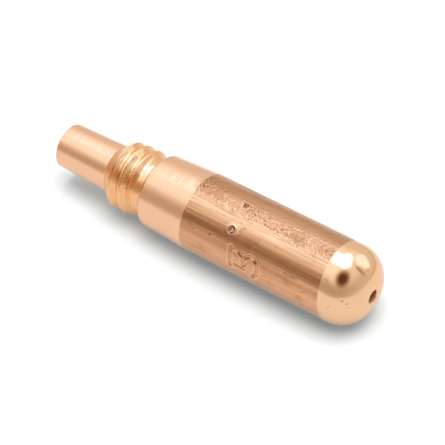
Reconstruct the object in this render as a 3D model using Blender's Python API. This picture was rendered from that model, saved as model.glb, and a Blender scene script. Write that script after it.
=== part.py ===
"""A gas-metal-arc welding contact tip, turned from one piece of drawn copper bar.

The tip lies on its side along X, as it rests on a bench: the plain tail is at -X and the domed nose at +X.
The origin is the middle of its footprint, so the floor is z = 0. Sizes are in millimetres.
"""

import math

import bmesh
import bpy
import mathutils

MM = 0.001

# Outside, from the tail to the nose
TAIL_LENGTH = 7.5
TAIL_END_DIAMETER = 5.45
TAIL_ROOT_DIAMETER = 5.85
TAIL_EDGE_BREAK = 0.12
THREAD_LENGTH = 4.25
THREAD_DIAMETER = 8.2
THREAD_LEAD_IN_ANGLE = 40.0
RELIEF_WIDTH = 1.7
RELIEF_CLEARANCE = 0.1
SEAT_LENGTH = 6.6
SEAT_TAPER_ANGLE = 3.0
SEAT_EDGE_BREAK = 0.35
BAR_LENGTH = 18.8
BAR_DIAMETER = 9.5
NOSE_LAND = 0.75
NOSE_DOME_LENGTH = 3.7
NOSE_FLAT_RIM = 0.2

# Thread: one right-hand groove that starts beside the tail and ends inside the relief
THREAD_PITCH = 1.5
THREAD_DEPTH = 0.8
THREAD_FLANK_ANGLE = 30.0
THREAD_CREST_WIDTH = 0.35
THREAD_ROOT_RADIUS = 0.12
THREAD_START = 1.1

# Wire passage
BORE_DIAMETER = 1.5
BORE_EDGE_BREAK = 0.1
FUNNEL_MOUTH_DIAMETER = 3.6
FUNNEL_ANGLE = 30.0

# How finely the round forms are divided. Diameters are across the flats
SIDES = 48
DOME_STEPS = 10
ROOT_STEPS = 3

COPPER_COLOUR = (0.93, 0.56, 0.38, 1.0)
COPPER_ROUGHNESS = 0.25

SHARP_EDGE = math.radians(30)


def stations():
    """The distances of the main sections from the tail's end, in order along the tip."""
    thread = TAIL_LENGTH
    relief = thread + THREAD_LENGTH
    seat = relief + RELIEF_WIDTH
    bar = seat + SEAT_LENGTH
    nose = bar + BAR_LENGTH
    end = nose + NOSE_LAND + NOSE_DOME_LENGTH
    return thread, relief, seat, bar, nose, end


def run(height, angle):
    """How far along the axis a slope goes that is this high and leans this many degrees from the axis."""
    return height / math.tan(math.radians(angle))


def tail_profile():
    """(distance, radius) points of the plain tail, which widens a little towards the thread."""
    end = TAIL_END_DIAMETER / 2
    return [
        (0.0, end - TAIL_EDGE_BREAK),
        (TAIL_EDGE_BREAK, end),
        (TAIL_LENGTH, TAIL_ROOT_DIAMETER / 2),
    ]


def thread_blank_profile():
    """Points of the band that the thread is cut in, and of the relief between it and the seat."""
    thread, relief, seat = stations()[:3]
    crest = THREAD_DIAMETER / 2
    floor = crest - THREAD_DEPTH - RELIEF_CLEARANCE
    lead_in = run(crest - TAIL_ROOT_DIAMETER / 2, THREAD_LEAD_IN_ANGLE)
    return [
        (thread + lead_in, crest),
        (relief, crest),
        (relief + run(crest - floor, 90 - THREAD_FLANK_ANGLE), floor),
        (seat, floor),
    ]


def seat_profile():
    """Points of the tapered seat, which the gas diffuser's cone grips."""
    seat, bar = stations()[2:4]
    bar_radius = BAR_DIAMETER / 2
    slope = math.tan(math.radians(SEAT_TAPER_ANGLE))
    small = bar_radius - (SEAT_LENGTH - SEAT_EDGE_BREAK) * slope
    return [
        (seat, small - SEAT_EDGE_BREAK),
        (seat + SEAT_EDGE_BREAK, small),
        (bar, bar_radius),
    ]


def nose_profile():
    """Points from where the bar is turned again, over the dome, to the small flat round the wire's exit."""
    nose, end = stations()[4:]
    bar_radius = BAR_DIAMETER / 2
    flat = BORE_DIAMETER / 2 + BORE_EDGE_BREAK + NOSE_FLAT_RIM
    shoulder = end - NOSE_DOME_LENGTH
    points = [(nose, bar_radius)]
    for step in range(DOME_STEPS + 1):
        turn = math.pi / 2 * step / DOME_STEPS
        distance = shoulder + NOSE_DOME_LENGTH * math.sin(turn)
        radius = flat + (bar_radius - flat) * math.cos(turn)
        points.append((distance, radius))
    return points


def bore_profile():
    """Points of the wire passage, from the nose back to the funnel that leads the wire in."""
    end = stations()[-1]
    bore = BORE_DIAMETER / 2
    mouth = FUNNEL_MOUTH_DIAMETER / 2
    return [
        (end, bore + BORE_EDGE_BREAK),
        (end - BORE_EDGE_BREAK, bore),
        (run(mouth - bore, FUNNEL_ANGLE), bore),
        (0.0, mouth),
    ]


def groove_profile():
    """(offset, radius) points round the thread groove's section, with its root in the middle."""
    crest = THREAD_DIAMETER / 2
    flank = math.radians(THREAD_FLANK_ANGLE)
    slope = math.tan(flank)
    clear = crest + THREAD_DEPTH / 4
    mouth = (THREAD_PITCH - THREAD_CREST_WIDTH) / 2
    floor = crest - THREAD_DEPTH
    corner = mouth - THREAD_DEPTH * slope
    middle = max(corner - THREAD_ROOT_RADIUS * (1 / math.cos(flank) - slope), 0.0)
    right = []
    for step in range(ROOT_STEPS + 1):
        turn = (math.pi / 2 - flank) * step / ROOT_STEPS
        offset = middle + THREAD_ROOT_RADIUS * math.sin(turn)
        radius = floor + THREAD_ROOT_RADIUS * (1 - math.cos(turn))
        right.append((offset, radius))
    right.append((mouth + (clear - crest) * slope, clear))
    left = [(-offset, radius) for offset, radius in reversed(right)]
    return left + right


def placed(distance, radius):
    """A corner above the axis, which is still on X with the tip's middle at x = 0, so that the flats are at this radius."""
    return ((distance - stations()[-1] / 2) * MM, 0.0, radius / math.cos(math.pi / SIDES) * MM)


def half_facet_turn():
    """Half a facet's turn about the axis, which puts a facet and not an edge at the bottom."""
    return mathutils.Matrix.Rotation(math.pi / SIDES, 3, "X")


def turn_blank(work):
    """Spins the whole section once round the axis."""
    section = tail_profile() + thread_blank_profile() + seat_profile() + nose_profile() + bore_profile()
    corners = [work.verts.new(placed(*point)) for point in section]
    edges = [work.edges.new(pair) for pair in zip(corners, corners[1:] + corners[:1])]
    bmesh.ops.rotate(work, verts=corners, cent=(0, 0, 0), matrix=half_facet_turn())
    bmesh.ops.spin(
        work,
        geom=corners + edges,
        cent=(0, 0, 0),
        axis=(1, 0, 0),
        angle=2 * math.pi,
        steps=SIDES,
        use_merge=True,
    )


def sweep_groove(work):
    """Carries the groove's section along the helix, one facet of the blank at a time."""
    thread, relief = stations()[:2]
    start = thread - THREAD_START
    finish = relief + RELIEF_WIDTH / 2
    steps = round((finish - start) / THREAD_PITCH * SIDES)
    corners = [work.verts.new(placed(start + offset, radius)) for offset, radius in groove_profile()]
    face = work.faces.new(corners)
    bmesh.ops.rotate(work, verts=corners, cent=(0, 0, 0), matrix=half_facet_turn())
    bmesh.ops.spin(
        work,
        geom=[face],
        cent=(0, 0, 0),
        axis=(1, 0, 0),
        dvec=(THREAD_PITCH / SIDES * MM, 0, 0),
        angle=2 * math.pi * steps / SIDES,
        steps=steps,
    )


def solid(name, fill):
    """A new object whose mesh is what fill makes, with its faces outwards."""
    mesh = bpy.data.meshes.new(name)
    work = bmesh.new()
    fill(work)
    bmesh.ops.recalc_face_normals(work, faces=work.faces)
    work.to_mesh(mesh)
    work.free()
    item = bpy.data.objects.new(name, mesh)
    bpy.context.scene.collection.objects.link(item)
    return item


def cut(item, cutter):
    """Takes the cutter out of the item, and then the cutter away."""
    modifier = item.modifiers.new(cutter.name, "BOOLEAN")
    modifier.operation = "DIFFERENCE"
    modifier.solver = "EXACT"
    modifier.object = cutter
    with bpy.context.temp_override(object=item, active_object=item):
        bpy.ops.object.modifier_apply(modifier=modifier.name)
    bpy.data.objects.remove(cutter)


def copper():
    """Bare copper."""
    material = bpy.data.materials.new("copper")
    material.use_nodes = True
    shader = material.node_tree.nodes["Principled BSDF"]
    shader.inputs["Base Color"].default_value = COPPER_COLOUR
    shader.inputs["Metallic"].default_value = 1.0
    shader.inputs["Roughness"].default_value = COPPER_ROUGHNESS
    return material


def build():
    """Clears the scene and makes the tip, with the bar's lowest facet on the floor."""
    for item in list(bpy.data.objects):
        bpy.data.objects.remove(item)
    tip = solid("contact_tip", turn_blank)
    cut(tip, solid("thread_groove", sweep_groove))
    tip.data.materials.append(copper())
    tip.data.shade_smooth()
    tip.data.set_sharp_from_angle(angle=SHARP_EDGE)
    tip.location.z = BAR_DIAMETER / 2 * MM


build()
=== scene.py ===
"""The looks of a gas-metal-arc welding contact tip, turned from one length of drawn copper bar.

The tip lies along X with its plain tail at -X and its domed nose at +X, on a floor at z = 0. One dressed piece
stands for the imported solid. It has the same outline, round and not in facets, with every corner broken as a lathe
leaves it, a shallower thread and relief, and the bar's marks pressed into its skin. Sizes are in millimetres.
Distances run from the tail's end, and x from the tip's middle.
"""

import logging
import math
from collections.abc import Callable, Sequence
from dataclasses import dataclass, field
from enum import Enum
from typing import Any

import bpy
import numpy as np
from mathutils import Matrix, Vector


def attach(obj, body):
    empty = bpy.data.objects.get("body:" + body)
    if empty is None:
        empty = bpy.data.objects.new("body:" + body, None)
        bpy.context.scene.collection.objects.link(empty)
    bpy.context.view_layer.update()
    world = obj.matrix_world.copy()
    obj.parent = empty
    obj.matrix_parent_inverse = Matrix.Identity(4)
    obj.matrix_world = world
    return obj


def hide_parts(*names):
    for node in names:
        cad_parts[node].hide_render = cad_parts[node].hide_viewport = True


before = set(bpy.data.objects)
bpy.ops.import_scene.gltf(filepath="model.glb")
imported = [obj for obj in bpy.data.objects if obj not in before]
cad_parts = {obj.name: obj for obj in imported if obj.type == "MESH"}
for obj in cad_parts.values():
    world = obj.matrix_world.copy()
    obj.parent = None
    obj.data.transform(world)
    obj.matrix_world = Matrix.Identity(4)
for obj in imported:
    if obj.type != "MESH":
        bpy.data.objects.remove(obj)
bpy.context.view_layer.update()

LOG = logging.getLogger("contact_tip")
MM = 0.001
PHOTO_SIZE = 445

AXIS_HEIGHT = 4.75
BAR_RADIUS = 4.749

STRAIGHT = math.radians(179)
SMOOTH_BELOW = math.radians(38)
TRACE_MERGE = 1e-3 * MM
SPIN_MERGE = 2e-3 * MM

# How a pressed mark's raised lip lies: where its top is and how far it spreads, in walls or radii from the edge
STROKE_LIP = (0.6, 0.7)
DENT_LIP = (1.15, 0.2)
DENT_FULLNESS = 0.7
STROKE_MARGIN = 0.12

# How many bits a corner's arc has, and how far from a corner the outline's next point stands
ARC_STEPS = 5
CORNER_GUARD = 0.06

NOISE_ROUGHNESS = 0.6
RED_TONE = 0.75
BLUE_TONE = 1.3

Point = tuple[float, float]
Corner = tuple[float, float, float]
Colour = tuple[float, float, float]
Row = tuple[float, float, float, float]
Socket = bpy.types.NodeSocket


class Direction(Enum):
    """Where a shader takes its position from."""

    OBJECT = "Object"
    SKY = "Generated"


class Number:
    """A socket that carries a number, on which Python's operators add Math nodes."""

    def __init__(self, graph: "Graph", socket: Socket) -> None:
        """Keeps the socket and the graph that it belongs to."""
        self.graph = graph
        self.socket = socket

    def __add__(self, other: "Number | float") -> "Number":
        """This number plus another."""
        return self.graph.maths("ADD", self, other)

    def __radd__(self, other: float) -> "Number":
        """A plain number plus this one."""
        return self.graph.maths("ADD", other, self)

    def __sub__(self, other: "Number | float") -> "Number":
        """This number less another."""
        return self.graph.maths("SUBTRACT", self, other)

    def __rsub__(self, other: float) -> "Number":
        """A plain number less this one."""
        return self.graph.maths("SUBTRACT", other, self)

    def __mul__(self, other: "Number | float") -> "Number":
        """This number times another."""
        return self.graph.maths("MULTIPLY", self, other)

    def __rmul__(self, other: float) -> "Number":
        """A plain number times this one."""
        return self.graph.maths("MULTIPLY", other, self)


class Graph:
    """The nodes of one material or world."""

    def __init__(self, tree: bpy.types.NodeTree) -> None:
        """Empties the node tree of a material or a world."""
        self.tree = tree
        tree.nodes.clear()

    def node(self, kind: str, settings: dict[str, Any] | None = None, **values: Any) -> bpy.types.Node:
        """Adds any node.

        Args:
            kind: Blender's name for the node's type.
            settings: What is set on the node before its sockets.
            **values: Input sockets by their name in lower case, or by "input" and a number, with numbers,
                colours, Numbers or sockets.

        Returns:
            The node.
        """
        made = self.tree.nodes.new(kind)
        for name, value in (settings or {}).items():
            setattr(made, name, value)
        named = {socket.name.lower().replace(" ", "_"): socket for socket in reversed(made.inputs)}
        for name, value in values.items():
            number = name.removeprefix("input")
            self._feed(made.inputs[int(number)] if number.isdigit() else named[name], value)
        return made

    def _feed(self, socket: Socket, value: Any) -> None:
        """Links a value to a socket, or sets it there."""
        if isinstance(value, Number):
            value = value.socket
        if isinstance(value, Socket):
            self.tree.links.new(value, socket)
        elif socket.type == "RGBA" and len(value) == 3:
            socket.default_value = (*value, 1.0)
        else:
            socket.default_value = value

    def maths(self, operation: str, *values: "Number | float") -> Number:
        """A Math node of up to three values."""
        inputs = {f"input{index}": value for index, value in enumerate(values)}
        return Number(self, self.node("ShaderNodeMath", {"operation": operation}, **inputs).outputs[0])

    def ramp(self, value: Number, low: float, high: float, start: float = 0.0, end: float = 1.0) -> Number:
        """Goes smoothly from start to end as a value goes from low to high."""
        ends = {"from_min": low, "from_max": high, "to_min": start, "to_max": end}
        made = self.node("ShaderNodeMapRange", {"interpolation_type": "SMOOTHSTEP"}, value=value, **ends)
        return Number(self, made.outputs[0])

    def near(self, value: Number, middle: float, reach: float) -> Number:
        """One where a value is at the middle, and smoothly nothing from reach away."""
        return self.ramp(self.maths("ABSOLUTE", value - middle), reach, 0.0)

    def mix(self, factor: "Number | float", first: Any, second: Any, blend: str = "MIX") -> Socket:
        """A colour between two others, or the first blended with the second as far as the factor says."""
        settings = {"data_type": "RGBA", "blend_type": blend}
        # A Mix node's colours are its inputs 6 and 7, and its output 2
        return self.node("ShaderNodeMix", settings, input0=factor, input6=first, input7=second).outputs[2]

    def tint(self, colour: Any, factor: "Number | float", by: Any) -> Socket:
        """A colour multiplied by another, as far as the factor says."""
        return self.mix(factor, colour, by, "MULTIPLY")

    def place(self, source: Direction, scale: float = 1.0) -> Socket:
        """The position or direction that a pattern is laid out in."""
        taken = self.node("ShaderNodeTexCoord").outputs[source.value]
        return self.node("ShaderNodeVectorMath", {"operation": "SCALE"}, input0=taken, scale=scale).outputs[0]

    def parts(self, vector: Socket) -> tuple[Number, Number, Number]:
        """The three parts of a vector."""
        made = self.node("ShaderNodeSeparateXYZ", vector=vector)
        return tuple(Number(self, socket) for socket in made.outputs)

    def noise(self, place: Socket, stretch: Sequence[float], detail: float) -> Number:
        """Clouds of values round a half: how many to a millimetre along each axis, in how many layers."""
        spread = self.node("ShaderNodeVectorMath", {"operation": "MULTIPLY"}, input0=place, input1=stretch)
        values = {"vector": spread.outputs[0], "scale": 1.0, "detail": detail, "roughness": NOISE_ROUGHNESS}
        made = self.node("ShaderNodeTexNoise", **values)
        return Number(self, made.outputs["Factor" if "Factor" in made.outputs else "Fac"])

    def toned(self, level: Number) -> Socket:
        """The colour that copper gives a mirrored level: warmer where it is dim, paler where it is bright."""
        red, blue = (self.maths("POWER", level, tone) for tone in (RED_TONE, BLUE_TONE))
        return self.node("ShaderNodeCombineColor", red=red, green=level, blue=blue).outputs[0]

    def attribute(self, name: str) -> Number:
        """A value that the mesh carries at its corners."""
        return Number(self, self.node("ShaderNodeAttribute", {"attribute_name": name}).outputs["Fac"])

    def facing(self, place: Socket, towards: Vector) -> Number:
        """The cosine of the angle between a direction and a fixed one."""
        made = self.node("ShaderNodeVectorMath", {"operation": "DOT_PRODUCT"}, input0=place, input1=towards)
        return Number(self, made.outputs["Value"])


def deselect_all() -> None:
    """Leaves nothing selected, so that an operator acts only on the piece in hand."""
    for item in bpy.context.selected_objects:
        item.select_set(False)


def hand_to(item: bpy.types.Object) -> None:
    """Makes one object the only one that operators act on."""
    deselect_all()
    item.select_set(True)
    bpy.context.view_layer.objects.active = item


def edit_all() -> None:
    """Goes into edit mode with everything selected."""
    bpy.ops.object.mode_set(mode="EDIT")
    bpy.ops.mesh.select_all(action="SELECT")


def leave_facing_out() -> None:
    """Turns the selected faces outwards and leaves edit mode."""
    bpy.ops.mesh.normals_make_consistent(inside=False)
    bpy.ops.object.mode_set(mode="OBJECT")


def apply_modifier(item: bpy.types.Object, kind: str, **settings: Any) -> None:
    """Adds a modifier with its settings to an object and applies it."""
    hand_to(item)
    modifier = item.modifiers.new(kind.lower(), kind)
    for name, value in settings.items():
        setattr(modifier, name, value)
    bpy.ops.object.modifier_apply(modifier=modifier.name)


def rounded(corners: Sequence[Corner]) -> list[Point]:
    """Breaks the corners of an open outline with arcs.

    Args:
        corners: Distance, radius and the arc's own radius at each corner; the first and last stay sharp.

    Returns:
        The outline's points.
    """
    points: list[Point] = [corners[0][:2]]
    for before, (distance, radius, arc), after in zip(corners, corners[1:], corners[2:]):
        here = Vector((distance, radius))
        back = (Vector(before[:2]) - here).normalized()
        ahead = (Vector(after[:2]) - here).normalized()
        if arc <= 0 or back.angle(ahead) > STRAIGHT:
            points.append((distance, radius))
            continue
        half = back.angle(ahead) / 2
        centre = here + (back + ahead).normalized() * (arc / math.sin(half))
        start = here + back * (arc / math.tan(half)) - centre
        turn = math.pi - 2 * half
        if back.x * ahead.y - back.y * ahead.x > 0:
            turn = -turn
        for step in range(ARC_STEPS + 1):
            angle = turn * step / ARC_STEPS
            cos, sin = math.cos(angle), math.sin(angle)
            swung = Vector((start.x * cos - start.y * sin, start.x * sin + start.y * cos))
            points.append(tuple(centre + swung))
    points.append(corners[-1][:2])
    return points


def divided(points: Sequence[Point], spacing: Callable[[float, float], float]) -> list[Point]:
    """Adds points along an outline, so that no run is long and shading stays true beside each corner.

    Args:
        points: The outline.
        spacing: The longest run allowed at a distance and radius.

    Returns:
        The denser outline.
    """
    dense: list[Point] = [points[0]]
    for first, last in zip(points, points[1:]):
        length = math.dist(first, last)
        middle = ((first[0] + last[0]) / 2, (first[1] + last[1]) / 2)
        reach = spacing(*middle)
        count = max(1, math.ceil(length / reach))
        shares = [step / count for step in range(1, count)]
        if length > 4 * CORNER_GUARD:
            shares += [CORNER_GUARD / length, 1 - CORNER_GUARD / length]
        for share in sorted(set(shares)):
            dense.append(tuple(np.array(first) * (1 - share) + np.array(last) * share))
        dense.append(last)
    return dense


@dataclass
class ThreadGroove:
    """The right-hand groove that makes the thread, cut from beside the tail to the middle of the relief."""

    start: float = 6.4
    end: float = 12.6
    pitch: float = 1.5
    crest_radius: float = 4.1
    depth: float = 0.56
    crest_width: float = 0.1
    wave_steps: int = 7
    last_share: float = 0.94
    overcut: float = 0.004
    clearance: float = 0.25
    steps_per_turn: int = 192

    def section(self) -> list[Point]:
        """The groove's outline, as offsets from its middle and radii, on which light meets no edge.

        Returns:
            The points of one wave, from the left, and of what is cut away over it.
        """
        half = (self.pitch - self.crest_width) / 2
        steep = math.pi * self.depth / (2 * half)
        right: list[Point] = []
        for step in range(self.wave_steps + 1):
            share = self.last_share * step / self.wave_steps
            sunk = self.depth * (1 + math.cos(math.pi * share)) / 2
            right.append((half * share, self.crest_radius - sunk))
        edge, radius = right[-1]
        over = self.crest_radius + self.overcut
        edge += (over - radius) / (steep * math.sin(math.pi * self.last_share))
        right += [(edge, over), (edge, self.crest_radius + self.clearance)]
        left = [(-across, radius) for across, radius in reversed(right)]
        return left[:-1] + right

    def cutter(self, tip: "TurnedTip") -> bpy.types.Object:
        """Carries the section along the helix.

        Args:
            tip: The piece that the groove is cut in, which says where the axis is.

        Returns:
            The closed solid that the cut takes away.
        """
        points = [tip.place(self.start + across, radius) - tip.axis() for across, radius in self.section()]
        tool = trace("thread_groove", points, closed=True)
        turns = (self.end - self.start) / self.pitch
        steps = round(self.steps_per_turn * turns)
        apply_modifier(
            tool,
            "SCREW",
            axis="X",
            angle=2 * math.pi * turns,
            screw_offset=self.pitch * turns * MM,
            steps=steps,
            render_steps=steps,
        )
        edit_all()
        bpy.ops.mesh.fill_holes(sides=0)
        leave_facing_out()
        tool.data.transform(Matrix.Translation(tip.axis()))
        return tool


def trace(name: str, points: Sequence[Vector], closed: bool) -> bpy.types.Object:
    """Draws a line of edges by extruding one corner from point to point.

    Args:
        name: The new object's name.
        points: Where the line goes, in metres.
        closed: Whether it returns to its first point.

    Returns:
        The object, with its origin at the origin.
    """
    deselect_all()
    bpy.ops.mesh.primitive_plane_add(size=MM)
    item = bpy.context.object
    item.name = name
    item.data.name = name
    edit_all()
    bpy.ops.mesh.merge(type="CENTER")
    bpy.ops.transform.translate(value=points[0])
    route = list(points) + ([points[0]] if closed else [])
    for before, after in zip(route, route[1:]):
        bpy.ops.mesh.extrude_vertices_move(TRANSFORM_OT_translate={"value": after - before})
    bpy.ops.mesh.select_all(action="SELECT")
    bpy.ops.mesh.remove_doubles(threshold=TRACE_MERGE)
    bpy.ops.object.mode_set(mode="OBJECT")
    return item


def read_vectors(items: bpy.types.bpy_prop_collection, name: str) -> np.ndarray:
    """The vector of one name of every item, a row each."""
    values = np.empty(len(items) * 3, np.float32)
    items.foreach_get(name, values)
    return values.reshape(-1, 3)


def bell(values: np.ndarray, middle: Any, spread: Any) -> np.ndarray:
    """One at the middle, falling to nothing on both sides of it."""
    return np.exp(-(((values - middle) / spread) ** 2))


@dataclass(frozen=True)
class Stroke:
    """A line pressed or scored into the bar's skin, as points (x, round) in millimetres."""

    points: tuple[Point, ...]
    width: float
    depth: float
    wall: float = 0.07
    lip: float = 0.0

    def depth_at(self, along: np.ndarray, around: np.ndarray) -> np.ndarray:
        """How far the skin is pressed in.

        Args:
            along: The places' x.
            around: The places' way round the bar from its top, towards the viewer.

        Returns:
            The depths.
        """
        reach = self.width / 2 + self.wall + STROKE_MARGIN
        xs = [point[0] for point in self.points]
        rounds = [point[1] for point in self.points]
        close = (along > min(xs) - reach) & (along < max(xs) + reach)
        close &= (around > min(rounds) - reach) & (around < max(rounds) + reach)
        here = np.stack([along[close], around[close]], axis=1)
        away = np.full(len(here), np.inf)
        for first, last in zip(self.points, self.points[1:]):
            run = np.subtract(last, first)
            share = np.clip((here - first) @ run / max(float(run @ run), 1e-9), 0, 1)
            away = np.minimum(away, np.linalg.norm(here - first - share[:, None] * run, axis=1))
        edge = (away - self.width / 2) / self.wall
        fall = np.clip(edge + 1, 0, 1)
        pressed = self.depth * (1 - fall * fall * (3 - 2 * fall))
        pressed -= self.lip * bell(edge, *STROKE_LIP)
        depths = np.zeros(len(along))
        depths[close] = pressed
        return depths


@dataclass(frozen=True)
class Dent:
    """A round mark in the bar's skin."""

    along: float
    around: float
    radius: float
    depth: float
    lip: float = 0.0

    def depth_at(self, along: np.ndarray, around: np.ndarray) -> np.ndarray:
        """How far the skin is pressed in at each place, as for a stroke."""
        away = np.hypot(along - self.along, around - self.around) / self.radius
        bowl = np.clip(1 - away**2, 0, 1)
        return self.depth * bowl**DENT_FULLNESS - self.lip * bell(away, *DENT_LIP)


@dataclass
class BarMarks:
    """What the drawn bar's skin carries: stamped strokes, two punch dots, a scored track and small pits, with
    painted shade and painted highlights in them.

    The track's rows are its x, its middle round the bar, its half width and its strength. The nose's pits are their
    x, y and z and their radius.
    """

    seed: int = 11
    number: tuple[Stroke, ...] = (
        Stroke(((5.45, 5.5), (5.56, 8.1)), width=0.5, depth=0.16, wall=0.17, lip=0.038),
        Stroke(((6.1, 7.6), (7.56, 7.7)), width=0.34, depth=0.11, wall=0.14, lip=0.038),
        Stroke(
            ((7.36, 7.3), (7.3, 6.35), (7.6, 5.95), (8.2, 5.68), (8.8, 5.8))
            + ((9.15, 6.2), (9.26, 6.9), (9.15, 7.7), (8.6, 8.35)),
            width=0.5,
            depth=0.16,
            wall=0.17,
            lip=0.038,
        ),
        Stroke(((5.85, 5.65), (6.5, 5.8), (7.1, 6.15)), width=0.3, depth=0.11, wall=0.13, lip=0.05),
        Stroke(((7.85, 6.65), (7.66, 7.27)), width=0.2, depth=0.06, wall=0.1, lip=0.02),
        Stroke(((4.15, 0.15), (4.42, 0.36)), width=0.2, depth=0.08, wall=0.1, lip=0.05),
        Stroke(((5.1, 0.2), (5.4, 0.45)), width=0.2, depth=0.07, wall=0.1, lip=0.05),
        Stroke(((4.5, 0.98), (5.0, 0.86)), width=0.2, depth=0.06, wall=0.1, lip=0.04),
    )
    dots: tuple[Dent, ...] = (
        Dent(4.72, 0.5, radius=0.4, depth=0.17, lip=0.06),
        Dent(4.81, 3.8, radius=0.46, depth=0.3, lip=0.06),
    )
    dish: Dent = Dent(5.0, 3.35, radius=0.95, depth=0.035, lip=0.012)
    track: tuple[Row, ...] = (
        (-1.45, 0.3, 1.15, 1.0),
        (1.5, 0.8, 0.9, 0.8),
        (3.4, 0.85, 0.7, 0.4),
        (5.2, 0.85, 0.65, 0.85),
        (8.0, 1.0, 0.6, 0.45),
        (10.5, 1.2, 0.6, 0.7),
        (12.5, 1.4, 0.75, 1.0),
        (14.4, 1.4, 0.6, 0.4),
        (16.4, 1.3, 0.65, 0.9),
        (17.1, 1.25, 0.65, 0.9),
    )
    scratch_count: int = 1100
    scratch_scatter: float = 0.5
    scratch_lengths: Point = (0.05, 0.45)
    scratch_widths: Point = (0.08, 0.18)
    scratch_depths: Point = (0.02, 0.1)
    scratch_wall: float = 0.08
    scratch_lip: float = 0.5
    seen_pits: tuple[Dent, ...] = (Dent(2.48, 5.33, 0.16, 0.07), Dent(11.0, 7.66, 0.12, 0.05))
    pit_count: int = 90
    pit_run: Point = (-1.2, 16.8)
    pit_radii: Point = (0.08, 0.16)
    pit_depths: Point = (0.015, 0.05)
    nose_pits: tuple[Row, ...] = (
        (17.78, -3.68, 7.76, 0.16),
        (20.04, -3.81, 6.24, 0.13),
        (20.51, -3.57, 5.80, 0.17),
        (18.97, -4.57, 5.30, 0.13),
        (18.75, -4.60, 5.05, 0.15),
        (18.55, -4.62, 4.75, 0.13),
        (17.93, -4.61, 3.61, 0.15),
        (21.60, -1.30, 4.46, 0.14),
        (21.52, -1.83, 5.14, 0.11),
    )
    nose_pit_depth: float = 0.07
    nose_pit_shade: float = 0.5
    skin_tolerance: float = 0.02
    most_raised: float = 0.03
    most_sunk: float = 0.3
    # How the marks' colour is painted: shade on the strokes' walls, in the dots and in the pits, and a highlight on
    # the raised lips and in the dish
    full_stroke: float = 0.14
    stroke_wall_shade: float = 1.4
    dot_shade: float = 8.0
    full_lip: float = 0.04
    lip_highlight: float = 0.6
    full_pit: float = 0.05

    def track_at(self, along: Any) -> tuple[Any, Any, Any]:
        """The track's middle round the bar, its half width and its strength at places along the bar."""
        stations, *rows = zip(*self.track)
        middle, width, strength = (np.interp(along, stations, row) for row in rows)
        return middle, width, strength

    def scratches(self) -> list[Stroke]:
        """The short scores and chatter that scuff the track."""
        draw = np.random.default_rng(self.seed)
        made: list[Stroke] = []
        for _ in range(self.scratch_count):
            along = draw.uniform(self.track[0][0], self.track[-1][0])
            middle, width, strength = self.track_at(along)
            around = float(middle + draw.normal(0, self.scratch_scatter) * width)
            angle = draw.uniform(0, math.pi)
            length = draw.uniform(*self.scratch_lengths)
            end = (along + length * math.cos(angle), around + length * math.sin(angle))
            width = draw.uniform(*self.scratch_widths)
            depth = draw.uniform(*self.scratch_depths) * float(strength)
            made.append(Stroke(((along, around), end), width, depth, self.scratch_wall, depth * self.scratch_lip))
        return made

    def small_pits(self) -> list[Dent]:
        """Pits all round the bar."""
        draw = np.random.default_rng(self.seed + 1)
        half_way = math.pi * BAR_RADIUS
        made = list(self.seen_pits)
        for _ in range(self.pit_count):
            along = draw.uniform(*self.pit_run)
            around = draw.uniform(-half_way, half_way)
            made.append(Dent(along, around, draw.uniform(*self.pit_radii), draw.uniform(*self.pit_depths)))
        return made

    def pressed(self, along: np.ndarray, around: np.ndarray) -> tuple[np.ndarray, dict[str, np.ndarray]]:
        """What the marks do to the bar's skin.

        Args:
            along: The places' x.
            around: The places' way round the bar from its top, towards the viewer.

        Returns:
            How far the skin is pressed in, and by name the painted shade in the marks, the track's scuffing with
            its painted shade, and the painted highlight on lips and dish.
        """
        depth = np.zeros(len(along))
        middle, width, strength = self.track_at(along)
        # The track's mask, for its real scuffing and for its painted shade
        scuffed = strength * bell(around, middle, width)
        for mark in self.number:
            here = mark.depth_at(along, around)
            depth = np.where(np.abs(here) > np.abs(depth), here, depth)
        # Painted shade on the strokes' walls
        sunk = np.clip(depth / self.full_stroke, 0, 1)
        soiled = self.stroke_wall_shade * sunk * (1 - sunk)
        for mark in self.dots:
            here = mark.depth_at(along, around)
            depth += here
            # Painted shade in the dots, darkest on their walls
            sunk = np.clip(here / mark.depth, 0, 1)
            soiled = np.maximum(soiled, (self.dot_shade * sunk * (1 - sunk) + sunk) * mark.depth)
        dish = self.dish.depth_at(along, around)
        # Painted highlight on the raised lips and in the dish round a dot
        fresh = np.clip(-depth / self.full_lip, 0, 1) * self.lip_highlight + np.clip(dish / self.dish.depth, 0, 1)
        depth += dish
        for mark in self.scratches():
            depth += mark.depth_at(along, around)
        for mark in self.small_pits():
            here = mark.depth_at(along, around)
            depth += here
            # Painted shade in the pits, darkest at their bottoms
            soiled = np.maximum(soiled, np.clip(here / self.full_pit, 0, 1))
        return depth, {"soiled": soiled, "scuffed": scuffed, "fresh": fresh}

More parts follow.
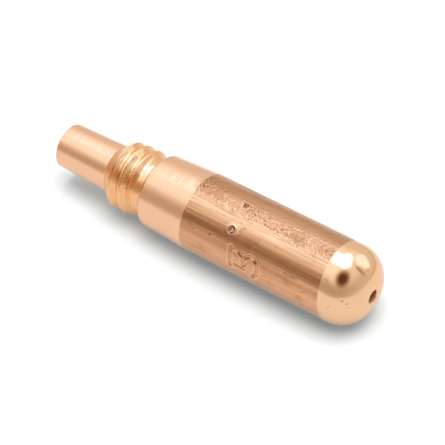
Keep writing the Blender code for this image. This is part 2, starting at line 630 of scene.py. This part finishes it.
    def press(self, item: bpy.types.Object, ends: Point) -> None:
        """Moves the skin inwards where it is marked, and keeps the marks on the mesh for the finish to read.

        Args:
            item: The turned piece.
            ends: The x of the bar's two ends.
        """
        mesh = item.data
        places = read_vectors(mesh.vertices, "co").astype(float) / MM
        across, high = places[:, 1], places[:, 2] - AXIS_HEIGHT
        radius = np.hypot(across, high)
        skin = (places[:, 0] > ends[0]) & (places[:, 0] < ends[1])
        skin &= radius > BAR_RADIUS - self.skin_tolerance
        around = np.arctan2(-across[skin], high[skin]) * BAR_RADIUS
        depth, marked = self.pressed(places[skin, 0], around)
        inward = 1 - np.clip(depth, -self.most_raised, self.most_sunk) / radius[skin]
        places[skin, 1] = across[skin] * inward
        places[skin, 2] = high[skin] * inward + AXIS_HEIGHT
        carried = {name: np.zeros(len(places)) for name in marked}
        for name, values in marked.items():
            carried[name][skin] = values
        normals = read_vectors(mesh.vertices, "normal")
        for *middle, reach in self.nose_pits:
            bowl = np.clip(1 - (np.linalg.norm(places - middle, axis=1) / reach) ** 2, 0, 1)
            places -= normals * (self.nose_pit_depth * bowl)[:, None]
            # Painted shade in the nose's pits
            carried["soiled"] = np.maximum(carried["soiled"], bowl * self.nose_pit_shade)
        mesh.vertices.foreach_set("co", (places * MM).astype(np.float32).ravel())
        for name, values in carried.items():
            data = mesh.attributes.new(name, "FLOAT", "POINT").data
            data.foreach_set("value", values.astype(np.float32))
        mesh.update()


@dataclass
class TurnedTip:
    """The whole tip, one turned piece of copper.

    The turned corners are each a distance, a radius and the rounding there. The runs are the longest steps of the
    outline on the bar, in the bore and elsewhere. The stamped patch is a range of x and one round the bar.
    """

    length: float = 43.3
    steps_round: int = 240
    turned_corners: tuple[Corner, ...] = (
        (0.0, 2.725, 0.11),
        (7.5, 2.925, 0.2),
        (8.9, 4.1, 0.12),
        (11.75, 4.1, 0.05),
        (12.15, 3.55, 0.3),
        (13.45, 3.55, 0.22),
        (13.45, 4.08, 0.1),
        (13.8, 4.422, 0.14),
    )
    bar_ends: Point = (20.05, 38.85)
    dome_start: float = 39.6
    dome_length: float = 3.7
    dome_flat: float = 1.05
    dome_steps: int = 56
    bore_radius: float = 0.78
    bore_break: float = 0.14
    bore_rounding: float = 0.05
    funnel_radius: float = 1.8
    funnel_length: float = 1.82
    funnel_break: float = 0.02
    funnel_rounding: float = 0.2
    bar_run: float = 0.127
    bore_run: float = 3.0
    other_run: float = 0.7
    bar_above: float = 4.0
    bore_below: float = 1.0
    groove: ThreadGroove = field(default_factory=ThreadGroove)
    marks: BarMarks = field(default_factory=BarMarks)
    stamped_patch: Row = (3.9, 10.2, -0.3, 9.0)
    patch_above: float = 4.5

    def axis(self) -> Vector:
        """The tip's axis, as the height that it runs at."""
        return Vector((0.0, 0.0, AXIS_HEIGHT * MM))

    def place(self, distance: float, radius: float) -> Vector:
        """A corner straight above the axis, in metres."""
        return self.axis() + Vector(((distance - self.length / 2) * MM, 0.0, radius * MM))

    def outside(self) -> list[Point]:
        """The outline from the tail's ring to the flat round the exit hole."""
        corners = [
            (0.0, self.funnel_radius + self.funnel_break, 0.0),
            *self.turned_corners,
            (self.bar_ends[0], BAR_RADIUS, 0.0),
            (self.bar_ends[1], BAR_RADIUS, 0.0),
            (self.dome_start, BAR_RADIUS, 0.0),
        ]
        points = rounded(corners)
        for step in range(1, self.dome_steps + 1):
            turn = math.pi / 2 * step / self.dome_steps
            distance = self.dome_start + self.dome_length * math.sin(turn)
            radius = self.dome_flat + (BAR_RADIUS - self.dome_flat) * math.cos(turn)
            points.append((distance, radius))
        return points

    def inside(self) -> list[Point]:
        """The outline from the exit hole's edge, along the bore, to the funnel's mouth."""
        corners = [
            (self.length, self.dome_flat, 0.0),
            (self.length, self.bore_radius + self.bore_break, self.bore_rounding),
            (self.length - self.bore_break, self.bore_radius, self.bore_rounding),
            (self.funnel_length, self.bore_radius, self.funnel_rounding),
            (self.funnel_break, self.funnel_radius, 0.0),
            (0.0, self.funnel_radius + self.funnel_break, 0.0),
        ]
        return rounded(corners)[1:]

    def spacing(self, distance: float, radius: float) -> float:
        """The longest run allowed at a place of the outline: short on the bar, whose skin is marked."""
        if self.bar_ends[0] < distance < self.bar_ends[1] and radius > self.bar_above:
            return self.bar_run
        if radius < self.bore_below:
            return self.bore_run
        return self.other_run

    def build(self) -> bpy.types.Object:
        """Turns the blank, cuts the thread and presses the marks.

        Returns:
            The finished mesh, with its place in its vertices.
        """
        outline = divided(self.outside() + self.inside(), self.spacing)
        tip = trace("dressed_tip", [self.place(*point) for point in outline[:-1]], closed=True)
        edit_all()
        bpy.ops.mesh.spin(steps=self.steps_round, angle=2 * math.pi, center=self.axis(), axis=(1, 0, 0))
        bpy.ops.mesh.select_all(action="SELECT")
        bpy.ops.mesh.remove_doubles(threshold=SPIN_MERGE)
        leave_facing_out()
        groove = self.groove.cutter(self)
        apply_modifier(tip, "BOOLEAN", operation="DIFFERENCE", solver="EXACT", object=groove)
        bpy.data.objects.remove(groove)
        self._divide_patch(tip)
        start, end = self.bar_ends
        self.marks.press(tip, (start - self.length / 2, end - self.length / 2))
        hand_to(tip)
        bpy.ops.object.shade_smooth_by_angle(angle=SMOOTH_BELOW)
        return tip

    def _divide_patch(self, tip: bpy.types.Object) -> None:
        """Divides the skin once more where the number and the dots go."""
        mesh = tip.data
        centres = read_vectors(mesh.polygons, "center") / MM
        high = centres[:, 2] - AXIS_HEIGHT
        around = np.arctan2(-centres[:, 1], high) * BAR_RADIUS
        low_x, high_x, low_round, high_round = self.stamped_patch
        chosen = (centres[:, 0] > low_x) & (centres[:, 0] < high_x)
        chosen &= (around > low_round) & (around < high_round)
        chosen &= np.hypot(centres[:, 1], high) > self.patch_above
        hand_to(tip)
        bpy.ops.object.mode_set(mode="EDIT")
        bpy.ops.mesh.select_mode(type="FACE")
        bpy.ops.mesh.select_all(action="DESELECT")
        bpy.ops.object.mode_set(mode="OBJECT")
        mesh.polygons.foreach_set("select", chosen)
        bpy.ops.object.mode_set(mode="EDIT")
        bpy.ops.mesh.subdivide(number_cuts=1)
        bpy.ops.mesh.select_mode(type="VERT")
        bpy.ops.object.mode_set(mode="OBJECT")


class Grain(Enum):
    """A noise in the copper: its changes a millimetre along, across and up, and its detail."""

    STREAKS = ((0.06, 1.3, 1.3), 4.0)
    FINE = ((0.16, 9.0, 9.0), 3.0)
    CLOUDS = ((0.5, 0.7, 0.7), 4.0)
    RINGS = ((10.0, 0.12, 0.12), 1.0)
    SPECKS = ((7.0, 7.0, 7.0), 2.0)
    SMUDGES = ((2.1, 3.0, 3.0), 4.0)
    WOBBLE = ((1.5, 2.5, 2.5), 2.0)
    ROLLED = ((1.0, 0.9, 0.9), 1.0)


@dataclass(frozen=True)
class Zones:
    """Where one finish gives way to the next, each over a short run of x, of radius or, for the painted shade on
    the far side, of y.
    """

    bar_start: Point = (-1.63, -1.57)
    bar_wobble: float = 0.12
    nose_start: float = 17.43
    nose_lean: float = 0.41
    nose_blend: float = 0.03
    skin: Point = (4.4, 4.5)
    thread_start: Point = (-14.3, -13.9)
    thread_end: Point = (-8.3, -8.5)
    bore: Point = (0.83, 0.8)
    far_side: Point = (-1.2, 0.6)


class Surface:
    """What the finish reads at each place of the tip, as numbers in the material's graph."""

    def __init__(self, graph: Graph, zones: Zones) -> None:
        """Reads the place, the noises, the zones and the mesh's own marks.

        Args:
            graph: The material's graph.
            zones: Where the finishes meet.
        """
        self.graph = graph
        place = graph.place(Direction.OBJECT, 1 / MM)
        along, across, height = graph.parts(place)
        high = height - AXIS_HEIGHT
        radius = graph.maths("SQRT", across * across + high * high)
        self.angle = graph.maths("ARCTAN2", 0 - across, high)
        self.grains = {grain: graph.noise(place, *grain.value) for grain in Grain}
        # The mesh's marks: painted shade in them, a painted highlight on their lips and dish, and the track with
        # its painted shade
        self.soiled = graph.attribute("soiled")
        self.fresh = graph.attribute("fresh")
        self.scuffed = graph.attribute("scuffed")

        blend = zones.nose_blend
        nose_ring = zones.nose_start - zones.nose_lean * graph.maths("DIVIDE", high, AXIS_HEIGHT)
        wobbled = along + self.swing(Grain.WOBBLE) * zones.bar_wobble
        on_bar = graph.ramp(wobbled, *zones.bar_start) * graph.ramp(wobbled - nose_ring, blend, -blend)
        self.drawn = on_bar * graph.ramp(radius, *zones.skin)
        self.polished = graph.ramp(along - nose_ring, -blend, blend)
        self.threaded = graph.ramp(along, *zones.thread_start) * graph.ramp(along, *zones.thread_end)
        self.bore = graph.ramp(radius, *zones.bore)
        self.far_side = graph.ramp(across, *zones.far_side)

    def swing(self, grain: Grain) -> Number:
        """How far a noise is above or below its middle."""
        return self.grains[grain] - 0.5

    def between(self, grain: Grain, levels: Point) -> Number:
        """Nothing at a noise's first level, and one at its second."""
        return self.graph.ramp(self.grains[grain], *levels)


@dataclass(frozen=True)
class Wash:
    """A colour laid over the bar's where a noise runs from one level to another."""

    grain: Grain
    levels: Point
    share: float
    colour: Colour

    def over(self, colour: Any, here: Surface, within: Number | None = None) -> Any:
        """The wash over a colour, on the whole bar or as far as another number says."""
        cover = here.between(self.grain, self.levels)
        if within is not None:
            cover = within * cover
        return here.graph.mix(cover * self.share, colour, self.colour)


@dataclass(frozen=True)
class Band:
    """A strip along the tip, by its angle and reach in degrees from the top towards the viewer, and its colour; the
    finish paints highlights and shade with such strips.
    """

    angle: float
    reach: float
    colour: Colour

    def cover(self, here: Surface) -> Number:
        """One in the middle of the strip, falling to nothing at its reach."""
        return here.graph.near(here.angle, math.radians(self.angle), math.radians(self.reach))


@dataclass(frozen=True)
class CopperFinish:
    """Bare copper: turned bright at the tail, thread and seat, polished at the nose, and as drawn between them."""

    zones: Zones = Zones()
    turned: Colour = (0.96, 0.6, 0.39)
    thread: Colour = (0.97, 0.57, 0.3)
    # Painted highlight: the thread is paler in a band on its lit side. Painted shade: it is darker in a band below
    # that.
    thread_highlight: Band = Band(19.0, 26.0, (1.0, 0.74, 0.48))
    thread_shade: Band = Band(53.0, 17.0, (0.84, 0.7, 0.55))
    nose: Colour = (0.94, 0.6, 0.37)
    ring_levels: Point = (0.35, 0.7)
    ring_tint: Colour = (0.985, 0.97, 0.96)
    drawn: Colour = (0.68, 0.355, 0.19)
    drawn_pale: Colour = (0.79, 0.44, 0.25)
    drawn_dark: Colour = (0.42, 0.19, 0.08)
    # A dark colour for the bar's specks of grime and for the painted shade in the marks
    grime_and_shade: Colour = (0.26, 0.11, 0.05)
    # Pale copper for the track's light flecks and for the painted highlights
    pale_fleck_and_highlight: Colour = (1.0, 0.66, 0.43)
    bar_washes: tuple[Wash, ...] = (
        Wash(Grain.STREAKS, (0.36, 0.66), 1.0, drawn_pale),
        Wash(Grain.FINE, (0.55, 0.72), 0.3, drawn_dark),
        Wash(Grain.CLOUDS, (0.5, 0.75), 0.4, drawn_dark),
        Wash(Grain.SPECKS, (0.66, 0.72), 0.6, grime_and_shade),
    )
    # Painted shade: the bar is darker on its far side
    far_side_shade: Colour = (0.88, 0.86, 0.84)
    # Painted highlight: a pale, streaky line along the drawn bar at one angle round it
    highlight_line: Band = Band(31.0, 11.0, pale_fleck_and_highlight)
    highlight_line_levels: Point = (0.62, 0.4)
    highlight_line_share: float = 0.9
    # Painted shade: two darker bands along the drawn bar, at fixed angles round it
    shade_bands: tuple[Band, ...] = (
        Band(56.0, 12.0, (0.66, 0.6, 0.54)),
        Band(74.0, 6.0, (0.8, 0.74, 0.68)),
    )
    # The track is darker: real scuffing, with painted shade in the same tint
    track_scuff_and_shade: Colour = (0.84, 0.73, 0.64)
    track_washes: tuple[Wash, ...] = (
        Wash(Grain.SMUDGES, (0.36, 0.6), 0.9, drawn_dark),
        Wash(Grain.SPECKS, (0.5, 0.62), 0.5, drawn_dark),
        Wash(Grain.SPECKS, (0.45, 0.33), 0.8, pale_fleck_and_highlight),
    )
    # How far the painted highlight turns the lips and the dish pale
    fresh_share: float = 0.55
    # How far the painted shade in the marks darkens them
    soiled_share: float = 0.8
    # The bore is dark brown and less metallic, so the hole is darker inside
    bore: Colour = (0.5, 0.24, 0.12)
    bore_dulling: float = 0.7

    turned_roughness: float = 0.18
    thread_roughness: float = 0.27
    nose_roughness: float = 0.14
    drawn_roughness: float = 0.17
    bore_roughness: float = 0.5
    ring_roughness: float = 0.06
    fine_roughness: float = 0.2
    cloud_roughness: float = 0.1
    track_roughness: float = 0.12

    feed_height: float = 0.02
    feed_polished_off: float = 0.0195
    streak_height: float = 0.06
    fine_height: float = 0.014
    track_height: float = 0.08
    rolled_height: float = 0.1

    def material(self) -> bpy.types.Material:
        """Makes the material.

        Returns:
            The material, with its patterns on Object coordinates and the mesh's own marks.
        """
        made = bpy.data.materials.new("bare_copper")
        made.use_nodes = True
        graph = Graph(made.node_tree)
        here = Surface(graph, self.zones)
        colour = graph.mix(here.drawn, self._bright(here), self._aged(here))
        # Painted shade in the marks
        colour = graph.mix(here.soiled * self.soiled_share, colour, self.grime_and_shade)
        colour = graph.mix(here.bore, colour, self.bore)
        bump = graph.node("ShaderNodeBump", strength=1.0, distance=MM, height=self._relief(here))
        shader = graph.node(
            "ShaderNodeBsdfPrincipled",
            metallic=1 - self.bore_dulling * here.bore,
            base_color=colour,
            roughness=self._roughness(here),
            normal=bump.outputs[0],
        )
        graph.node("ShaderNodeOutputMaterial", surface=shader.outputs[0])
        return made

    def _bright(self, here: Surface) -> Any:
        """The colour of what was cut on the lathe, with the lathe's fine rings and the thread's painted highlight
        and painted shade.
        """
        graph = here.graph
        # The thread's painted highlight and painted shade, in bands at fixed angles round it
        thread = graph.mix(self.thread_highlight.cover(here), self.thread, self.thread_highlight.colour)
        thread = graph.tint(thread, self.thread_shade.cover(here), self.thread_shade.colour)
        bright = graph.mix(here.threaded, self.turned, thread)
        bright = graph.mix(here.polished, bright, self.nose)
        rings = here.between(Grain.RINGS, self.ring_levels) * (1 - here.polished)
        return graph.tint(bright, rings, self.ring_tint)

    def _aged(self, here: Surface) -> Any:
        """The colour of the drawn bar, with a painted highlight line and painted shade bands, the track with its
        scuffing and painted shade, and a painted highlight on the marks' lips.
        """
        graph = here.graph
        aged: Any = self.drawn
        for wash in self.bar_washes:
            aged = wash.over(aged, here)
        # Painted shade on the bar's far side
        aged = graph.tint(aged, here.far_side, self.far_side_shade)
        # Painted highlight along the bar
        line = self.highlight_line.cover(here) * here.between(Grain.FINE, self.highlight_line_levels)
        aged = graph.mix(line * self.highlight_line_share, aged, self.highlight_line.colour)
        # Painted shade in bands along the bar
        for band in self.shade_bands:
            aged = graph.tint(aged, band.cover(here), band.colour)
        # The track's scuffing and its painted shade
        aged = graph.tint(aged, here.scuffed, self.track_scuff_and_shade)
        for wash in self.track_washes:
            aged = wash.over(aged, here, here.scuffed)
        # Painted highlight on the marks' lips and dish
        return graph.mix(here.fresh * self.fresh_share, aged, self.pale_fleck_and_highlight)

    def _roughness(self, here: Surface) -> Number:
        """How dull the copper is."""
        bright = self.turned_roughness - (self.turned_roughness - self.nose_roughness) * here.polished
        bright = bright + (self.thread_roughness - self.turned_roughness) * here.threaded
        bright = bright + here.swing(Grain.RINGS) * self.ring_roughness
        aged = self.drawn_roughness + here.swing(Grain.FINE) * self.fine_roughness
        aged = aged + here.swing(Grain.CLOUDS) * self.cloud_roughness + here.scuffed * self.track_roughness
        rough = bright + (aged - bright) * here.drawn
        return rough + (self.bore_roughness - rough) * here.bore

    def _relief(self, here: Surface) -> Number:
        """The height, in millimetres, of what is too fine for the mesh."""
        feed = here.swing(Grain.RINGS) * (self.feed_height - self.feed_polished_off * here.polished)
        skin = here.swing(Grain.STREAKS) * self.streak_height + here.swing(Grain.FINE) * self.fine_height
        skin = skin + here.scuffed * here.swing(Grain.SPECKS) * self.track_height
        rolled = here.threaded * here.swing(Grain.ROLLED) * self.rolled_height
        return here.drawn * skin + (1 - here.drawn) * feed + rolled


def towards(azimuth: float, elevation: float) -> Vector:
    """A direction in degrees: azimuth 0 is the front, -Y, and 90 is +X, and elevation is above the floor."""
    turn, lift = math.radians(azimuth), math.radians(elevation)
    return Vector((math.sin(turn) * math.cos(lift), -math.cos(turn) * math.cos(lift), math.sin(lift)))


@dataclass(frozen=True)
class Softbox:
    """One round soft light or dark shape that the metal mirrors, seen from the tip in one direction."""

    azimuth: float
    elevation: float
    radius: float
    level: float
    softness: float

    def cover(self, graph: Graph, ray: Socket) -> Number:
        """How far a ray's direction is inside the shape: one inside, nothing outside."""
        inner = math.cos(math.radians(max(self.radius - self.softness, 0)))
        outer = math.cos(math.radians(self.radius + self.softness))
        return graph.ramp(graph.facing(ray, towards(self.azimuth, self.elevation)), outer, inner)


@dataclass(frozen=True)
class Panel:
    """One many-sided light or dark shape that the metal mirrors, by the directions of its corners."""

    corners: tuple[Point, ...]
    level: float
    softness: float

    def cover(self, graph: Graph, ray: Socket) -> Number:
        """How far a ray's direction is inside the shape, as for a softbox."""
        corners = [towards(*corner) for corner in self.corners]
        middle = sum(corners, Vector())
        depths = []
        for here, after in zip(corners, corners[1:] + corners[:1]):
            side = here.cross(after).normalized()
            if side.dot(middle) < 0:
                side = -side
            depths.append(graph.facing(ray, side))
        inside = depths[0]
        for depth in depths[1:]:
            inside = graph.maths("MINIMUM", inside, depth)
        soft = math.sin(math.radians(self.softness))
        return graph.ramp(inside, -soft, soft)


@dataclass
class Studio:
    """A pale floor, the soft light round it and the camera."""

    floor_radius: float = 1.2
    floor_sides: int = 96
    floor_rim: float = 0.01
    floor_colour: Colour = (0.54, 0.53, 0.52)
    floor_seen: Colour = (0.1, 0.155, 0.175)

    # The floor as the metal mirrors it: its levels from near to far, its loss behind, and how far they replace it
    mirror_reach: Point = (60.0, 260.0)
    mirror_levels: Point = (0.8, 0.62)
    mirror_back: Point = (20.0, 80.0)
    mirror_back_loss: float = 0.12
    mirror_share_reach: Point = (20.0, 120.0)
    mirror_shares: Point = (0.5, 1.0)

    room_low: float = 0.62
    room_low_gain_back: float = 0.14
    room_high: float = 0.98
    room_high_loss_right: float = 0.16
    room_climb: Point = (21.0, 47.0)
    room_front: Point = (0.1, -0.6)
    strip_elevation: float = 15.0
    strip_reach: float = 0.24
    strip_loss: float = 0.1

    key_direction: Point = (48.0, 79.5)
    key_distance: float = 0.5
    key_size: float = 0.4
    key_energy: float = 2.65
    boxes: tuple[Softbox | Panel, ...] = (
        Softbox(-62, 58, 20, 1.2, 6),
        Panel(((178.9, 46), (171.4, 25.3), (140.4, 12.8), (128.4, 26.8), (135.2, 54.3), (157.9, 58.2)), 1.4, 2),
        Panel(
            ((-130.7, 56.25), (-152.8, 50.6), (-165.1, 51.2), (168.2, 61.5))
            + ((105.8, 70.6), (33.5, 77.8), (-73.3, 63.6)),
            level=2.5,
            softness=1.2,
        ),
        Panel(((126.8, 56.6), (121, 42), (118.8, 14.9), (112.5, 16.3), (110.5, 41.3), (115, 56.1)), 0.25, 2),
        Softbox(34, 50, 19, 0.05, 11),
    )
    camera_azimuth: float = 36.815
    camera_elevation: float = 41.991
    camera_distance: float = 226.58
    camera_target: Corner = (2.067, 0.0, 4.75)
    focal_pixels: float = 1991.534
    shift_pixels: Point = (-7.51, 2.703)
    sensor: float = 36.0
    clip: Point = (0.001, 10.0)

    def build(self) -> None:
        """Makes the floor, the world, the lamp and the camera."""
        self._floor()
        self._world()
        self._key()
        self._camera()

    def _floor(self) -> None:
        """A round slab that the lamp lights for the camera, and that the metal mirrors at levels of its own."""
        deselect_all()
        bpy.ops.mesh.primitive_circle_add(vertices=self.floor_sides, radius=self.floor_radius, fill_type="NGON")
        floor = bpy.context.object
        floor.name = "floor"
        edit_all()
        bpy.ops.mesh.extrude_region_move(TRANSFORM_OT_translate={"value": (0, 0, -self.floor_rim)})
        bpy.ops.mesh.select_all(action="SELECT")
        leave_facing_out()
        made = bpy.data.materials.new("white_floor")
        made.use_nodes = True
        graph = Graph(made.node_tree)
        paper = graph.node("ShaderNodeBsdfDiffuse", color=self.floor_colour)
        path = graph.node("ShaderNodeLightPath")
        glow = graph.node("ShaderNodeEmission", color=self.floor_seen, strength=path.outputs["Is Camera Ray"])
        both = graph.node("ShaderNodeAddShader", input0=paper.outputs[0], input1=glow.outputs[0])
        right, back, _ = graph.parts(graph.place(Direction.OBJECT, 1 / MM))
        away = graph.maths("SQRT", right * right + back * back)
        level = graph.ramp(away, *self.mirror_reach, *self.mirror_levels)
        level = level - graph.ramp(back, *self.mirror_back) * self.mirror_back_loss
        white = graph.node("ShaderNodeEmission", color=graph.toned(level), strength=1.0)
        diffused = graph.maths("MINIMUM", path.outputs["Diffuse Depth"], 1)
        mirrored = Number(graph, path.outputs["Is Glossy Ray"]) * (1 - diffused)
        share = mirrored * graph.ramp(away, *self.mirror_share_reach, *self.mirror_shares)
        mixed = graph.node("ShaderNodeMixShader", input0=share, input1=both.outputs[0], input2=white.outputs[0])
        graph.node("ShaderNodeOutputMaterial", surface=mixed.outputs[0])
        floor.data.materials.append(made)

    def _world(self) -> None:
        """A room that is dim near the floor and brighter above, with the shapes in it that the metal mirrors."""
        world = bpy.data.worlds.new("studio")
        world.use_nodes = True
        bpy.context.scene.world = world
        graph = Graph(world.node_tree)
        ray = graph.place(Direction.SKY)
        right, back, lift = graph.parts(ray)
        low = self.room_low + self.room_low_gain_back * back
        high = self.room_high - self.room_high_loss_right * right
        climb = graph.ramp(lift, *(math.sin(math.radians(angle)) for angle in self.room_climb))
        level = low + (high - low) * climb
        strip = graph.near(lift, math.sin(math.radians(self.strip_elevation)), self.strip_reach)
        level = level * (1 - self.strip_loss * graph.ramp(back, *self.room_front) * strip)
        for box in self.boxes:
            level = level + (box.level - level) * box.cover(graph, ray)
        path = graph.node("ShaderNodeLightPath")
        level = level + (1 - level) * Number(graph, path.outputs["Is Camera Ray"])
        tone = graph.toned(level)
        neutral = graph.node("ShaderNodeCombineColor", red=level, green=level, blue=level).outputs[0]
        tone = graph.mix(Number(graph, path.outputs["Is Glossy Ray"]), neutral, tone)
        shade = graph.node("ShaderNodeBackground", color=tone, strength=1.0)
        graph.node("ShaderNodeOutputWorld", surface=shade.outputs[0])

    def _key(self) -> None:
        """The soft lamp that gives the tip its shadow on the floor, and that the metal doesn't mirror."""
        lamp = bpy.data.lights.new("key", "AREA")
        lamp.shape = "DISK"
        lamp.size = self.key_size
        lamp.energy = self.key_energy
        key = bpy.data.objects.new("key", lamp)
        bpy.context.scene.collection.objects.link(key)
        back = towards(*self.key_direction)
        key.location = back * self.key_distance
        key.rotation_euler = back.to_track_quat("Z", "Y").to_euler()
        key.visible_glossy = False

    def _camera(self) -> None:
        """The camera at the photograph's angle."""
        lens = bpy.data.cameras.new("camera")
        camera = bpy.data.objects.new("camera", lens)
        bpy.context.scene.collection.objects.link(camera)
        back = towards(self.camera_azimuth, self.camera_elevation)
        camera.location = (Vector(self.camera_target) + back * self.camera_distance) * MM
        camera.rotation_euler = back.to_track_quat("Z", "Y").to_euler()
        lens.sensor_width = self.sensor
        lens.lens = self.focal_pixels * self.sensor / PHOTO_SIZE
        lens.shift_x = self.shift_pixels[0] / PHOTO_SIZE
        lens.shift_y = self.shift_pixels[1] / PHOTO_SIZE
        lens.clip_start, lens.clip_end = self.clip
        bpy.context.scene.camera = camera


def main() -> None:
    """Builds the tip and the studio, and reports each."""
    logging.basicConfig(level=logging.INFO, format="%(message)s")
    bpy.context.scene.view_settings.view_transform = "Standard"
    tip = TurnedTip().build()
    tip.data.materials.clear()
    tip.data.materials.append(CopperFinish().material())
    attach(tip, "root")
    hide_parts("contact_tip")
    tip.data.calc_loop_triangles()
    LOG.info("%s: %d triangles", tip.name, len(tip.data.loop_triangles))
    studio = Studio()
    studio.build()
    LOG.info("studio: floor, lamp, camera and %d mirrored shapes", len(studio.boxes))


if __name__ == "__main__":
    main()
